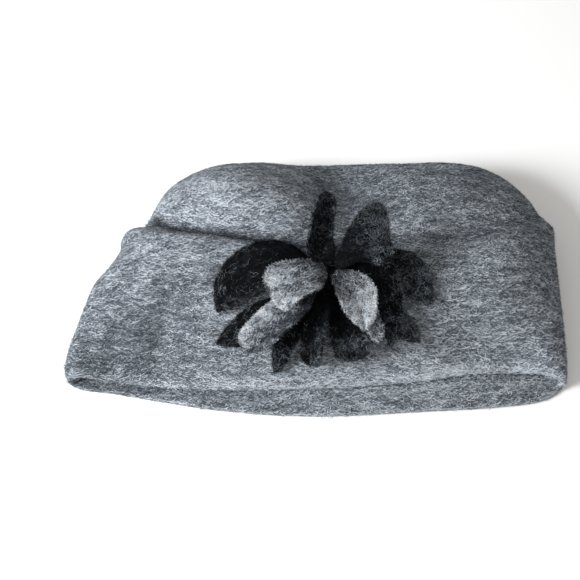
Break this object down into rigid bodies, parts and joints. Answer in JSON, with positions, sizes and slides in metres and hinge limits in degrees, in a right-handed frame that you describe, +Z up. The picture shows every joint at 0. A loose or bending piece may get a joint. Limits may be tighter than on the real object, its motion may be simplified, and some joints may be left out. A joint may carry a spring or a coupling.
{
  "type": "wool felt cap with a felt flower",
  "caption": "Soft brimless wool felt cap lying flat on its back, open at the rim, with a tuck across the front and a layered flower of felt petals beside it.",
  "frame": {"origin": "under the middle of the cap, on the surface that the cap's back lies on", "axes": "+X across the opening, +Y from the opening to the crown, +Z up from the back to the front with the flower"},
  "size_m": [0.29, 0.1642, 0.0714],
  "materials": {
    "heather_felt": "brushed heather grey wool felt",
    "charcoal_felt": "charcoal wool felt with pale fibres",
    "light_felt": "light heather wool felt"
  },
  "bodies": {
    "root": {"cap_shell": "heather_felt", "flower_core": "charcoal_felt", "petal_top_spike": "charcoal_felt", "petal_upper_right": "charcoal_felt", "petal_left": "charcoal_felt", "petal_light_left": "light_felt", "petal_light_lower_left": "light_felt", "petal_lower_left": "charcoal_felt", "petal_lower_spike": "charcoal_felt", "petal_lower_middle": "charcoal_felt", "petal_lower_right": "charcoal_felt", "petal_light_right": "light_felt", "petal_under_right": "light_felt", "petal_inner_right": "charcoal_felt", "petal_right": "charcoal_felt", "petal_far_right": "charcoal_felt"}
  },
  "joints": []
}
